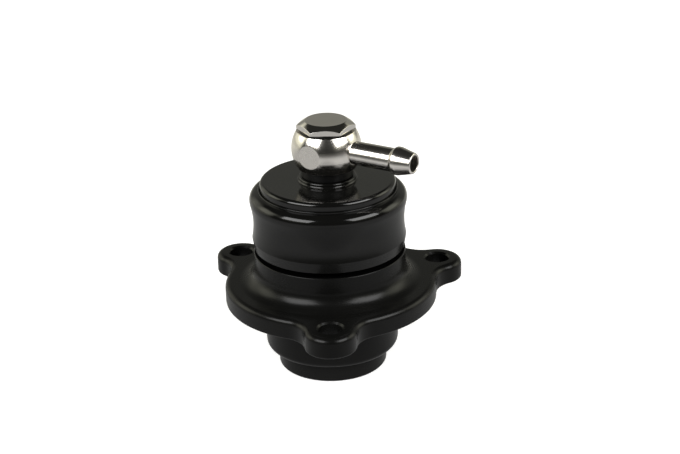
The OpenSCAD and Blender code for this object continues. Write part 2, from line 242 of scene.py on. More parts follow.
class CapSizes(bpy.types.PropertyGroup):
    """Cap with its boss."""

    cap_d: length("Cap", "Diameter of the cap in the collar", 37.4)
    edge_round: length("Edge", "Round on the cap's top edge", 1.1)
    flange_d: length("Flange", "Diameter of the flange under the lip", 39.2)
    plug_d: length("Plug", "Diameter of the plug in the bore", 32.84)
    plug_len: length("Plug length", "Length of the plug", 4.8)
    pocket_d: length("Pocket", "Diameter of the spring pocket", 25.2)
    seat_t: length("Spring seat", "Rise of the spring's seat into the cap", 0.8)
    inner_boss_d: length("Thread boss", "Diameter of the thread boss inside the cap", 15)
    inner_boss_h: length("Thread boss drop", "Drop of that boss below the spring's seat", 2.5)
    boss_d: length("Boss", "Diameter of the boss that carries the banjo", 15.8)
    boss_h: length("Boss height", "Height of the boss", 1.2)
    boss_round: length("Boss edge", "Round on the boss's upper edge", 0.4)
    boss_fillet: length("Boss fillet", "Hollow fillet between boss and cap", 0.6)
    hole_d: length("Hole", "Diameter of the banjo bolt's hole", 9.9)
    hole_break: length("Hole edge", "Small round at the top of that hole", 0.15)
    ring_slack: length("Ring slack", "Room beside the O-ring in its groove", 0.4)
    ring_proud: length("Ring proud", "How far the O-ring stands out of the plug", 0.05)


class PistonSizes(bpy.types.PropertyGroup):
    """Sliding piston, whose nose stands out of the spigot, and its spring."""

    nose_d: length("Nose", "Diameter of the nose", 30.5)
    nose_round: length("Nose edge", "Round on the nose's lower edge", 0.8)
    nose_len: length("Nose length", "Length of the nose below the skirt", 10.25)
    skirt_d: length("Skirt", "Diameter of the skirt in the bore", 32.84)
    edge_break: length("Edge", "Small round on the piston's other edges", 0.2)
    floor_t: length("Floor", "Thickness of the floor", 5)
    floor_fillet: length("Floor fillet", "Hollow fillet between floor and wall", 0.6)
    dish_d: length("Dish", "Diameter of the shallow dish in the nose", 22)
    dish_h: length("Dish depth", "Depth of the shallow dish", 1)
    dish_fillet: length("Dish fillet", "Hollow fillet round the dish", 0.3)
    band_depth: length("Band groove", "Depth of the slide band's groove", 0.96)
    ring_depth: length("Ring groove", "Depth of the O-ring's groove", 1.85)
    ring_slack: length("Ring slack", "Room beside the O-ring in its groove", 0.4)
    wire_d: length("Wire", "Diameter of the spring's wire", 1.8)
    coil_d: length("Coil", "Mean diameter of the spring's coil", 22)
    wire_pitch: length("Closed pitch", "Rise of the closed turn at each end of the spring", 1.872)
    open_turns: IntProperty(
        name="Open turns", description="Turns of the spring between its closed ends", default=6
    )


class BanjoSizes(bpy.types.PropertyGroup):
    """Ball, hose tail, bolt and washers."""

    ball_d: length("Ball", "Diameter of the ball", 19.2)
    ball_flat_d: length("Side flat", "Diameter of the round flats on the ball", 6.6)
    flat_break: length("Flat edge", "Small round along the edge of each flat", 0.1)
    ball_bore_d: length("Ball bore", "Diameter of the hole through the ball", 9.96)
    bore_break: length("Bore edge", "Small round at the ends of that hole", 0.2)
    tail_way: angle("Tail", "Direction of the hose tail", -32)
    tail_reach: length("Tail reach", "Distance of the tail's tip from the axis", 27.2)
    tail_root: length("Tail root", "Depth of the tail's end inside the ball", 1.5)
    tail_d: length("Tail tube", "Outer diameter of the tail", 6.4)
    tail_bore_d: length("Tail bore", "Bore of the tail", 4.4)
    barb_d: length("Barb", "Diameter of the barb's ridge", 7.7)
    tip_d: length("Tip", "Diameter of the tail's tip", 5.6)
    barb_len: length("Barb cone", "Length of the barb's cone", 4.3)
    barb_land: length("Barb land", "Width of the land on the ridge", 1)
    barb_back: length("Barb back", "Length of the slope behind the ridge", 0.9)
    ridge_break: length("Ridge edge", "Small round behind the ridge and in the bore", 0.15)
    cone_break: length("Cone edge", "Small round at both ends of the cone", 0.2)
    hex_af: length("Hexagon", "Width of the head across its flats", 14)
    head_h: length("Head", "Height of the hexagon head", 2.35)
    head_clear: length("Head blank", "How far the turned blank stands past the corners", 0.3)
    disc_d: length("Head disc", "Diameter of the flat disc on the head", 11.4)
    disc_break: length("Disc edge", "Small round along the disc's edge", 0.1)
    head_bevel: angle("Head bevel", "Slope of the bevel round the disc", 33)
    head_turn: angle("Head turn", "Turn of the head about the bolt", -2)
    head_break: length("Head edge", "Small round along the hexagon's edges", 0.05)
    shank_d: length("Shank", "Diameter of the bolt's shank", 9.8)
    shank_break: length("Shank edge", "Round on the shank's lower end", 0.5)
    air_bore_d: length("Air bore", "Diameter of the air way in the bolt", 4.4)
    air_bore_end: length("Air bore end", "Distance of that bore's end below the head", 3)
    washer_d: length("Washer", "Diameter of both washers", 14.2)
    washer_hole_d: length("Washer hole", "Diameter of the washers' holes", 10.2)
    washer_edge: factor("Washer edge", "Round on a washer's edges as a share of its height", 0.12)


class ValveFinish(bpy.types.PropertyGroup):
    """Colours, roughness and index of refraction of the finishes."""

    anodised: colour("Anodised", "Black anodised aluminium", 0.0035, 0.0035, 0.0034)
    turned_gloss: factor("Turned roughness", "Roughness of the finely turned collar and cap", 0.11)
    satin_gloss: factor("Satin roughness", "Roughness of the satin base body", 0.26)
    cap_index: number("Cap index", "Index of the cap's coat", 1.41)
    collar_index: number("Collar index", "Index of the collar's coat", 1.37)
    base_index: number("Base index", "Index of the base body's coat", 1.26)
    # Painted shade: the near-black, barely reflecting finish of the groove below the collar stands in for
    # the shade in that deep recess
    groove: colour("Groove", "Matt black in the groove below the collar", 0.0008, 0.0008, 0.0008)
    groove_gloss: factor("Groove roughness", "Roughness in that groove", 0.8)
    groove_index: number("Groove index", "Index of the black in that groove", 1.06)
    piston: colour("Piston", "Hard anodised piston", 0.006, 0.006, 0.006)
    piston_index: number("Piston index", "Index of the piston's coat", 1.25)
    plate: colour("Plate", "Bright nickel plate", 0.82, 0.785, 0.735)
    plate_gloss: factor("Plate roughness", "Roughness of the plate on the ball and bolt", 0.17)
    flat_gloss: factor("Flat roughness", "Roughness of the plate on the milled flats", 0.27)
    tail_gloss: factor("Tail roughness", "Roughness of the plate on the tail", 0.19)
    disc_gloss: factor("Disc roughness", "Roughness of the plate on the head's disc", 0.39)
    washer: colour("Washer", "Black fibre washer", 0.004, 0.004, 0.004)
    washer_gloss: factor("Washer roughness", "Roughness of the fibre", 0.4)
    washer_index: number("Washer index", "Index of the fibre", 1.3)
    rubber: colour("Rubber", "Black seal rubber", 0.011, 0.011, 0.011)
    rubber_gloss: factor("Rubber roughness", "Roughness of the rubber", 0.42)
    slide_band: colour("Slide band", "Bronze-filled slide plastic", 0.16, 0.08, 0.03)
    band_gloss: factor("Band roughness", "Roughness of the slide plastic", 0.5)
    soft_index: number("Soft index", "Index of the rubber and the slide plastic", 1.48)
    spring: colour("Spring", "Drawn spring wire", 0.42, 0.42, 0.43)
    spring_gloss: factor("Spring roughness", "Least roughness of the wire", 0.28)


class StageSettings(bpy.types.PropertyGroup):
    """Floor, studio light and camera."""

    floor: colour("Floor", "Pale studio floor", 0.9, 0.9, 0.9)
    floor_glow: colour("Floor glow", "Own light of the floor round the valve", 0.5, 0.5, 0.5)
    table: colour("Table", "Duller floor that the metal mirrors", 0.48, 0.48, 0.49)
    # Painted shade: the floor that the metal mirrors is darker in a strip straight in front of the valve
    table_front: colour("Table front", "Darker strip of that floor before the valve", 0.31, 0.31, 0.32)
    table_end: length("Table end", "Distance at which that floor fades into the dark", 140)
    near_glow: colour("Near glow", "Light of that floor close to the valve", 0.12, 0.12, 0.12)
    back_glow: colour("Back glow", "Light of that floor behind the valve", 0.38, 0.37, 0.31)
    dark_room: colour("Dark room", "Ceiling and the middle of the front", 0.022, 0.022, 0.02)
    back_wall: colour("Back wall", "Wall behind the valve", 0.26, 0.26, 0.23)
    side_walls: colour("Side walls", "Pale walls to the left and right", 0.95, 0.94, 0.78)
    panel_gain: number("Panel gain", "Light of the side panels against the walls", 2.6)
    box_power: FloatProperty(
        name="Softbox power", description="Power of each softbox", default=2.95, unit="POWER"
    )
    box_way: angle("Softbox way", "Softboxes' angle to the viewing direction", 53)
    box_turn: angle("Softbox turn", "Turn of both softboxes about the valve, to the right", 3)
    box_rise: angle("Softbox rise", "Softboxes' height above the horizon", 36)
    box_far: length("Softbox distance", "Distance of the softboxes", 600)
    box_wide: length("Softbox width", "Width of each softbox", 430)
    box_high: length("Softbox height", "Height of each softbox", 285)
    box_aim: length("Softbox aim", "Height of the point that the softboxes face", 15)
    camera_rise: angle("Camera rise", "Camera's height above the horizon", 23.03)
    camera_roll: angle("Camera roll", "Turn of the camera about its own axis", -1.69)
    camera_far: length("Camera distance", "Distance of the camera from its target", 457.4)
    camera_lens: number("Camera lens", "Focal length in millimetres on a 36 mm sensor", 87.39)
    target_x: length("Target right", "Camera's target to the right of the axis", 3.02)
    target_z: length("Target height", "Camera's target above the mounting face", 20.6)


# Shader maths


class Shade:
    """A shader value that Python's operators work on, in one material."""

    def __init__(self, tree, socket):
        self.tree = tree
        self.socket = socket

    def maths(self, operation, *values):
        return node(self.tree, "ShaderNodeMath", {"operation": operation}, dict(enumerate(values)))

    def __add__(self, other):
        return self.maths("ADD", self, other)

    __radd__ = __add__

    def __sub__(self, other):
        return self.maths("SUBTRACT", self, other)

    def __rsub__(self, other):
        return self.maths("SUBTRACT", other, self)

    def __mul__(self, other):
        return self.maths("MULTIPLY", self, other)

    __rmul__ = __mul__

    def __pow__(self, other):
        return self.maths("POWER", self, other)

    def clamped(self):
        """The value, kept from 0 to 1."""
        return node(self.tree, "ShaderNodeClamp", {}, {0: self})


def node(tree, kind, settings, inputs, output=0):
    """Any node: its settings first, then the values or links of its sockets."""
    made = tree.nodes.new(kind)
    for key, value in settings.items():
        setattr(made, key, value)
    for key, value in inputs.items():
        if isinstance(value, Shade):
            tree.links.new(value.socket, made.inputs[key])
        else:
            made.inputs[key].default_value = value
    return Shade(tree, made.outputs[output])


def above(value, edge, sharpness):
    """0 up to an edge, then rising to 1."""
    return ((value - edge) * sharpness).clamped()


def below(value, edge, sharpness):
    """1 well below an edge, falling to 0 there."""
    return ((edge - value) * sharpness).clamped()


def new_finish(name, constants):
    """Material with one shader, whose fixed values are set on its own sockets."""
    material = bpy.data.materials.new(name)
    material.use_nodes = True
    shader = material.node_tree.nodes["Principled BSDF"]
    for key, value in constants.items():
        shader.inputs[key].default_value = (*value, 1) if key == "Base Color" else value
    return material.node_tree, shader, material


def feed(tree, shader, **values):
    """Links values that change over the surface to the shader's sockets."""
    for key, value in values.items():
        tree.links.new(value.socket, shader.inputs[key.replace("_", " ")])


def turned_marks(tree, pitch, centre=(0, 0, 0), turn=(0, 0, 0)):
    """Fine rings round the local Z axis, as a lathe tool leaves, from 0 to 1."""
    place = node(tree, "ShaderNodeTexCoord", {}, {}, "Object")
    local = node(
        tree,
        "ShaderNodeMapping",
        {"vector_type": "TEXTURE"},
        {"Vector": place, "Location": centre, "Rotation": turn},
    )
    x, y, z = (node(tree, "ShaderNodeSeparateXYZ", {}, {0: local}, i) for i in range(3))
    radius = (x * x + y * y) ** 0.5
    waver = x * 8.0
    rings = node(
        tree, "ShaderNodeCombineXYZ", {}, {0: radius * (1 / pitch), 1: z * (1 / pitch), 2: waver}
    )
    noise = {"Vector": rings, "Scale": 1.0, "Detail": 2.0, "Roughness": 0.6}
    return node(tree, "ShaderNodeTexNoise", {}, noise, "Fac")


def cloud(tree, grain, detail=3.0):
    """Soft uneven spots of a given grain, from 0 to 1."""
    place = node(tree, "ShaderNodeTexCoord", {}, {}, "Object")
    noise = {"Vector": place, "Scale": 1 / grain, "Detail": detail}
    return node(tree, "ShaderNodeTexNoise", {}, noise, "Fac")


def blend(tree, share, low, high):
    """Colour between two colours or colour links."""
    settings = {"data_type": "RGBA", "clamp_factor": True}
    return node(tree, "ShaderNodeMix", settings, {0: share, 6: low, 7: high}, 2)


def tint(tree, share, low, high):
    """Colour between two plain tones."""
    return blend(tree, share, (*low, 1), (*high, 1))


def relief(tree, height, depth, strength):
    """Surface normal from a height between 0 and 1."""
    return node(tree, "ShaderNodeBump", {}, {"Height": height, "Distance": depth, "Strength": strength})


def scaled(base, gain):
    """A tone made lighter or darker."""
    return tuple(gain * c for c in base)


def anodised_finish(name, base, gloss, index, marks):
    """Black anodised aluminium with turning marks and faint handling marks."""
    pitch, depth = marks
    tree, shader, material = new_finish(name, {"Base Color": base, "IOR": index})
    rings = turned_marks(tree, pitch)
    smudge = cloud(tree, SMUDGE_GRAIN)
    pores = cloud(tree, PORE_GRAIN, 1.0)
    pale = (base[0] * 1.45, base[1] * 1.45, base[2] * 1.35)
    feed(
        tree,
        shader,
        Base_Color=tint(tree, smudge * 0.6 + rings * 0.4, scaled(base, 0.8), pale),
        Roughness=gloss + rings * 0.04 + smudge * 0.06 + pores * 0.02 - 0.06,
        Normal=relief(tree, rings * 0.8 + pores * 0.2, depth, 0.35),
    )
    return material


def plate_finish(name, base, gloss, marks, centre=(0, 0, 0), turn=(0, 0, 0)):
    """Bright nickel plate over turned brass, with faint rings and dull spots."""
    pitch, depth = marks
    tree, shader, material = new_finish(name, {"Base Color": base, "Metallic": 1.0})
    rings = turned_marks(tree, pitch, centre, turn)
    spots = cloud(tree, PLATE_GRAIN)
    feed(
        tree,
        shader,
        Base_Color=tint(tree, spots * 0.7 + rings * 0.3, scaled(base, 0.9), base),
        Roughness=gloss + rings * 0.05 + spots * 0.06 - 0.05,
        Normal=relief(tree, rings, depth, 0.3),
    )
    return material


def soft_finish(name, base, gloss, index, surface):
    """Rubber, fibre, plastic or matt black with a fine grain."""
    grain, depth = surface
    tree, shader, material = new_finish(name, {"Base Color": base, "IOR": index})
    grains = cloud(tree, grain)
    spots = cloud(tree, SPOT_GRAIN)
    feed(
        tree,
        shader,
        Base_Color=tint(tree, spots, scaled(base, 0.7), scaled(base, 1.3)),
        Roughness=gloss + grains * 0.12 - 0.06,
        Normal=relief(tree, grains, depth, 0.4),
    )
    return material


def wire_finish(name, base, gloss):
    """Drawn steel wire."""
    tree, shader, material = new_finish(name, {"Base Color": base, "Metallic": 1.0})
    streaks = cloud(tree, STREAK_GRAIN)
    feed(
        tree,
        shader,
        Base_Color=tint(tree, streaks, scaled(base, 0.75), base),
        Roughness=gloss + streaks * 0.14,
    )
    return material


# Modelling


def arc(centre, radius, start, end, steps):
    """Corners along an arc of a half section; angles in degrees from the radial way."""
    ways = [math.radians(start + (end - start) * i / steps) for i in range(steps + 1)]
    return [(centre[0] + radius * math.cos(a), centre[1] + radius * math.sin(a), 0, 1) for a in ways]


def rounded(bm, geom, size, segments, affect):
    """Rounds edges or corners."""
    bmesh.ops.bevel(
        bm,
        geom=geom,
        offset=size,
        offset_type="OFFSET",
        segments=segments,
        profile=0.5,
        affect=affect,
        material=-1,
    )


def merge_seams(bm, distance=SEAM):
    """Makes corners that meet one corner."""
    bmesh.ops.remove_doubles(bm, verts=bm.verts, dist=distance)


def half_section(bm, corners, place, is_open=False):
    """Outline of a half section in an empty mesh.

    A corner is (radius, height, round, segments), with the last two optional.
    """
    rest = {2: (0, FINE_ROUND), 3: (FINE_ROUND,), 4: ()}
    corners = [(*c, *rest[len(c)]) for c in corners]
    verts = [bm.verts.new(place(c[0], c[1])) for c in corners]
    bm.faces.new(verts)
    closing = next(e for e in verts[0].link_edges if e in verts[-1].link_edges) if is_open else None
    for vert, corner in zip(verts, corners):
        if corner[2] > 0:
            rounded(bm, [vert], corner[2], corner[3], "VERTICES")
    face = next(iter(bm.faces))
    outline = list(face.edges)
    bmesh.ops.delete(bm, geom=[face], context="FACES_ONLY")
    if closing is not None:
        outline.remove(closing)
        bmesh.ops.delete(bm, geom=[closing], context="EDGES")
    return outline


def sweep(bm, geom, turn, steps, centre=(0, 0, 0), rise=0):
    """Spins geometry part of the way, or several times, about the Z axis; gives what comes last."""
    made = bmesh.ops.spin(
        bm,
        geom=geom,
        cent=centre,
        axis=(0, 0, 1),
        angle=turn,
        steps=steps,
        use_merge=False,
        dvec=(0, 0, rise),
    )
    return made["geom_last"]


def turn_round(bm, outline, axis=(0, 0, 1), centre=(0, 0, 0), steps=TURN_STEPS):
    """Spins a half section all the way round."""
    verts = list({v for e in outline for v in e.verts})
    bmesh.ops.spin(
        bm,
        geom=verts + outline,
        cent=centre,
        axis=axis,
        angle=math.tau,
        steps=steps,
        use_merge=True,
        dvec=(0, 0, 0),
    )


def upright(radius, height):
    """Place of a half section's corner about the valve's axis."""
    return Vector((radius, 0, height))


def turned_mesh(corners, is_open=False):
    """Mesh turned about the valve's axis."""
    bm = bmesh.new()
    turn_round(bm, half_section(bm, corners, upright, is_open))
    return bm


def take_in(bm, other):
    """Moves another mesh's faces into this one."""
    merge_seams(other)
    scrap = bpy.data.meshes.new("scrap")
    other.to_mesh(scrap)
    other.free()
    bm.from_mesh(scrap)
    bpy.data.meshes.remove(scrap)


def close_up(bm):
    """Merges seams and poles, and points the faces outwards."""
    merge_seams(bm)
    bmesh.ops.dissolve_degenerate(bm, edges=bm.edges, dist=THIN)
    bmesh.ops.recalc_face_normals(bm, faces=bm.faces)


def add_piece(name, bm, materials, body, slot, *nodes, crease=CREASE):
    """Makes a finished mesh a piece that rides on its body and stands for its solids."""
    close_up(bm)
    for face in bm.faces:
        face.smooth = True
    mesh = bpy.data.meshes.new(name)
    bm.to_mesh(mesh)
    bm.free()
    for material in materials:
        mesh.materials.append(material)
    mesh.set_sharp_from_angle(angle=math.radians(crease))
    piece = bpy.data.objects.new(name, mesh)
    bpy.context.scene.collection.objects.link(piece)
    even = piece.modifiers.new("Even shading", "WEIGHTED_NORMAL")
    even.keep_sharp = True
    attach(piece, body)
    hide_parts(*nodes)
    return piece


def paint(name, material):
    """Gives a solid that stays as it is a finish."""
    mesh = frame["nodes"][name].data
    mesh.materials.clear()
    mesh.materials.append(material)


def level_way(turn):
    """Unit direction in a level plane."""
    return Vector((math.cos(turn), math.sin(turn), 0))


def lug_ways(flange):
    """Directions of the three lugs."""
    return flange.lone_lug, flange.front_lug, flange.right_lug


def flange_outline(bm, flange):
    """Edge loop round the flange at the mounting face: rim, blends and lug ends, each a spun arc."""
    rim_r = flange.disc_d / 2
    bolt_r = flange.bolt_circle_d / 2
    to_axis = rim_r + flange.blend_r
    to_lug = flange.lug_r + flange.blend_r
    blend_way = math.acos((bolt_r**2 + to_axis**2 - to_lug**2) / (2 * bolt_r * to_axis))
    centre = to_axis * level_way(-blend_way)
    facing_lug = math.atan2(-centre.y, bolt_r - centre.x)
    blend_sweep = (math.pi - blend_way) - facing_lug
    lug_sweep = 2 * (math.pi - facing_lug)
    lugs = sorted(way % math.tau for way in lug_ways(flange))
    tip = bm.verts.new(rim_r * level_way(lugs[-1] + blend_way))
    previous = lugs[-1] - math.tau
    for way in lugs:
        for about, turn, steps in (
            (Vector((0, 0, 0)), way - previous - 2 * blend_way, RIM_STEPS),
            (to_axis * level_way(way - blend_way), -blend_sweep, BLEND_STEPS),
            (bolt_r * level_way(way), lug_sweep, LUG_STEPS),
            (to_axis * level_way(way + blend_way), -blend_sweep, BLEND_STEPS),
        ):
            last = sweep(bm, [tip], turn, steps, about)
            tip = next(g for g in last if isinstance(g, bmesh.types.BMVert))
        previous = way
    merge_seams(bm, SAME)


def level_edges(bm, height):
    """Edges that lie at one height."""
    return [e for e in bm.edges if all(abs(v.co.z - height) < LEVEL for v in e.verts)]


def flange_plate(flange):
    """Plate with rounded edges, opened above and below."""
    top = flange.thickness
    bm = bmesh.new()
    flange_outline(bm, flange)
    plate = bmesh.ops.contextual_create(bm, geom=bm.edges[:])["faces"]
    walls = bmesh.ops.extrude_face_region(bm, geom=plate)["geom"]
    raised = [g for g in walls if isinstance(g, bmesh.types.BMVert)]
    bmesh.ops.translate(bm, verts=raised, vec=(0, 0, top))
    rounded(bm, level_edges(bm, top), flange.top_round, EDGE_ROUND, "EDGES")
    rounded(bm, level_edges(bm, 0), flange.low_round, FINE_ROUND, "EDGES")
    bm.normal_update()
    flats = [f for f in bm.faces if len(f.verts) > EDGE_CORNERS]
    bmesh.ops.delete(bm, geom=flats, context="FACES_ONLY")
    return bm


def circle_loop(bm, centre, radius, height):
    """Ring of edges."""
    place = Matrix.Translation((centre.x, centre.y, height))
    made = bmesh.ops.create_circle(
        bm, cap_ends=False, segments=HOLE_STEPS, radius=radius, matrix=place
    )
    return list({e for v in made["verts"] for e in v.link_edges})


def bolt_holes(bm, flange):
    """Walls of the chamfered bolt holes."""
    top = flange.thickness
    hole_r = flange.hole_d / 2
    for way in lug_ways(flange):
        centre = flange.bolt_circle_d / 2 * level_way(way)
        rings = [
            circle_loop(bm, centre, hole_r + flange.hole_chamfer, top),
            circle_loop(bm, centre, hole_r, top - flange.hole_chamfer),
            circle_loop(bm, centre, hole_r, flange.hole_break),
            circle_loop(bm, centre, hole_r + flange.hole_break, 0),
        ]
        for upper, lower in zip(rings, rings[1:]):
            bmesh.ops.bridge_loops(bm, edges=upper + lower)


class VALVE_OT_base_body(bpy.types.Operator):
    """Flange with its lugs, spigot and neck"""

    bl_idname = "valve.base_body"
    bl_label = "Base body"

    def execute(self, context):
        flange = context.scene.valve_flange
        body = context.scene.valve_body
        finish = context.scene.valve_finish
        low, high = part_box("base_body")
        top = flange.thickness
        root_r = body.neck_d / 2 + body.cove_r + body.cove_land
        neck_z = top + body.neck_h
        stop_z = low.z + body.stop_lip_h
        collar_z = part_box("collar")[0].z
        neck_r = body.neck_d / 2
        land_r = body.land_d / 2
        seal_in = body.seal_mean_d / 2 - body.seal_d / 2 - body.seal_slack
        seal_out = body.seal_mean_d / 2 + body.seal_d / 2 + body.seal_slack
        seal_top = body.seal_d + body.seal_gap
        bm = flange_plate(flange)
        bolt_holes(bm, flange)

        # Turned middle, from the flange's top to its underside
        corners = [
            (root_r, top),
            (neck_r, top, body.cove_r, COVE_ROUND),
            (neck_r, neck_z, body.neck_round),
            (land_r - body.relief, neck_z),
            (land_r - body.relief, collar_z),
            (land_r, collar_z + body.relief),
            (land_r, high.z, body.neck_round),
            (body.bore_d / 2, high.z, body.inner_round),
            (body.bore_d / 2, stop_z),
            (body.guide_d / 2, stop_z),
            (body.guide_d / 2, low.z, body.inner_round),
            (body.spigot_d / 2, low.z, body.spigot_round, WIDE_ROUND),
            (body.spigot_d / 2, 0),
            (seal_in, 0),
            (seal_in, seal_top),
            (seal_out, seal_top),
            (seal_out, 0),
            (root_r, 0),
        ]
        take_in(bm, turned_mesh(corners, True))

        # Flat faces between the middle, the holes and the rounded edge
        for height in (top, 0):
            loops = [e for e in level_edges(bm, height) if e.is_boundary]
            bmesh.ops.triangle_fill(bm, edges=loops, use_beauty=True)
        # Painted shade: faces in the groove below the collar take a near-black material that stands in for
        # the shade in that recess
        for face in bm.faces:
            middle = face.calc_center_median()
            is_outside = middle.xy.length > land_r - 2 * body.relief
            if is_outside and neck_z - NEAR < middle.z < high.z:
                face.material_index = 1
        satin = anodised_finish(
            "black_satin", finish.anodised, finish.satin_gloss, finish.base_index, BASE_MARKS
        )
        # Painted shade for the groove: near-black and barely reflecting, not the metal's own colour
        dark = soft_finish(
            "groove_painted_shade", finish.groove, finish.groove_gloss, finish.groove_index, GROOVE_GRAIN
        )
        add_piece("base_body_turned", bm, [satin, dark], "valve", "black_anodised", "base_body")
        return {"FINISHED"}


class VALVE_OT_seals(bpy.types.Operator):
    """O-ring in the mounting face, and the finish of all O-rings"""

    bl_idname = "valve.seals"
    bl_label = "Seals"

    def execute(self, context):
        body = context.scene.valve_body
        finish = context.scene.valve_finish
        low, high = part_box("flange_seal")
        centre = (body.seal_mean_d / 2, (low.z + high.z) / 2)
        ring = arc(centre, body.seal_d / 2, 0, 360 - 360 / RING_SIDES, RING_SIDES - 1)
        rubber = soft_finish(
            "seal_rubber", finish.rubber, finish.rubber_gloss, finish.soft_index, RUBBER_GRAIN
        )
        add_piece("flange_seal_ring", turned_mesh(ring), [rubber], "valve", "seal_rubber", "flange_seal")
        for name in ("cap_seal", "piston_seal"):
            paint(name, rubber)
        return {"FINISHED"}


class VALVE_OT_collar(bpy.types.Operator):
    """Waisted collar with a round shoulder and a tapered foot"""

    bl_idname = "valve.collar"
    bl_label = "Collar"

    def execute(self, context):
        size = context.scene.valve_collar
        finish = context.scene.valve_finish
        low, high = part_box("collar")
        outer = size.collar_d / 2
        foot_r = size.foot_d / 2
        slope = math.tan(size.foot_taper)
        bend = size.waist_arc_r
        waist = (size.waist_d / 2 + bend, low.z + size.waist_up)
        # The tapered foot meets the waist's arc
        gap = waist[0] - foot_r + slope * (low.z - waist[1])
        a, b, c = 1 + slope**2, -2 * slope * gap, gap**2 - bend**2
        crease_up = (-b - math.sqrt(b * b - 4 * a * c)) / (2 * a)
        crease = math.degrees(math.asin(crease_up / bend))
        top_end = math.degrees(math.acos((waist[0] - outer) / bend))
        hollow = arc(waist, bend, 180 - crease, 180 - top_end, WAIST_STEPS)
        shoulder = (outer - size.shoulder_r, high.z - size.lip_step - size.shoulder_r)
        lip_r = size.lip_d / 2
        ring_r = lip_r + size.lip_ring
        ring_end = math.degrees(math.acos((ring_r - shoulder[0]) / size.shoulder_r))
        corners = [
            (size.thread_d / 2, low.z, size.edge_break),
            (foot_r, low.z, size.edge_break),
            *hollow[:-1],
            (*hollow[-1][:2], size.waist_end, SOFT_ROUND),
            *arc(shoulder, size.shoulder_r, 0, ring_end, SHOULDER_STEPS),
            (ring_r, high.z, size.edge_break),
            (lip_r, high.z, size.lip_break),
            (lip_r, high.z - size.lip_t),
            (size.thread_d / 2, high.z - size.lip_t),
        ]
        black, foot = (
            anodised_finish(name, finish.anodised, gloss, finish.collar_index, TURNED_MARKS)
            for name, gloss in (
                ("black_anodised", finish.turned_gloss),
                ("black_foot", finish.satin_gloss),
            )
        )
        bm = turned_mesh(corners)
        for face in bm.faces:
            face.material_index = int(face.calc_center_median().z < hollow[0][1])
        add_piece("collar_turned", bm, [black, foot], "valve", "black_anodised", "collar")
        return {"FINISHED"}


class VALVE_OT_cap(bpy.types.Operator):
    """Cap with its boss and spring pocket"""

    bl_idname = "valve.cap"
    bl_label = "Cap"

    def execute(self, context):
        size = context.scene.valve_cap
        finish = context.scene.valve_finish
        low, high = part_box("cap")
        top = high.z - size.boss_h
        plug_z = low.z + size.plug_len
        seat_z = plug_z - size.seat_t
        boss_z = seat_z - size.inner_boss_h
        lip_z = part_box("collar")[1].z - context.scene.valve_collar.lip_t
        ring_low, ring_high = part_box("cap_seal")
        groove_low, groove_high = ring_low.z - size.ring_slack, ring_high.z + size.ring_slack
        groove_r = size.plug_d / 2 + size.ring_proud - (ring_high.z - ring_low.z)
        corners = [
            (size.hole_d / 2, high.z, size.hole_break),
            (size.boss_d / 2, high.z, size.boss_round, EDGE_ROUND),
            (size.boss_d / 2, top, size.boss_fillet, EDGE_ROUND),
            (size.cap_d / 2, top, size.edge_round, WIDE_ROUND),
            (size.cap_d / 2, lip_z),
            (size.flange_d / 2, lip_z),
            (size.flange_d / 2, plug_z),
            (size.plug_d / 2, plug_z),
            (size.plug_d / 2, groove_high),
            (groove_r, groove_high),
            (groove_r, groove_low),
            (size.plug_d / 2, groove_low),
            (size.plug_d / 2, low.z),
            (size.pocket_d / 2, low.z),
            (size.pocket_d / 2, seat_z),
            (size.inner_boss_d / 2, seat_z),
            (size.inner_boss_d / 2, boss_z),
            (size.hole_d / 2, boss_z),
        ]
        black = anodised_finish(
            "black_cap", finish.anodised, finish.turned_gloss, finish.cap_index, TURNED_MARKS
        )
        add_piece("cap_turned", turned_mesh(corners), [black], "valve", "black_anodised", "cap")
        return {"FINISHED"}


class VALVE_OT_piston(bpy.types.Operator):
    """Piston with its nose, skirt and grooves"""

    bl_idname = "valve.piston"
    bl_label = "Piston"

    def execute(self, context):
        size = context.scene.valve_piston
        finish = context.scene.valve_finish
        low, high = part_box("piston")
        ring_low, ring_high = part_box("piston_seal")
        band_low, band_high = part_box("guide_band")
        groove_low, groove_high = ring_low.z - size.ring_slack, ring_high.z + size.ring_slack
        skirt_r = size.skirt_d / 2
        pocket_r = context.scene.valve_cap.pocket_d / 2
        corners = [
            (0, low.z + size.dish_h),
            (size.dish_d / 2, low.z + size.dish_h, size.dish_fillet),
            (size.dish_d / 2, low.z, size.edge_break),
            (size.nose_d / 2, low.z, size.nose_round, EDGE_ROUND),
            (size.nose_d / 2, low.z + size.nose_len),
            (skirt_r, low.z + size.nose_len, size.edge_break),
            (skirt_r, band_low.z),
            (skirt_r - size.band_depth, band_low.z),
            (skirt_r - size.band_depth, band_high.z),
            (skirt_r, band_high.z),
            (skirt_r, groove_low),
            (skirt_r - size.ring_depth, groove_low),
            (skirt_r - size.ring_depth, groove_high),
            (skirt_r, groove_high),
            (skirt_r, high.z, size.edge_break),
            (pocket_r, high.z, size.edge_break),
            (pocket_r, low.z + size.floor_t, size.floor_fillet),
            (0, low.z + size.floor_t),
        ]
        black = anodised_finish(
            "piston_black", finish.piston, finish.satin_gloss, finish.piston_index, PISTON_MARKS
        )
        add_piece("piston_turned", turned_mesh(corners, True), [black], "piston", "piston_black", "piston")
        return {"FINISHED"}


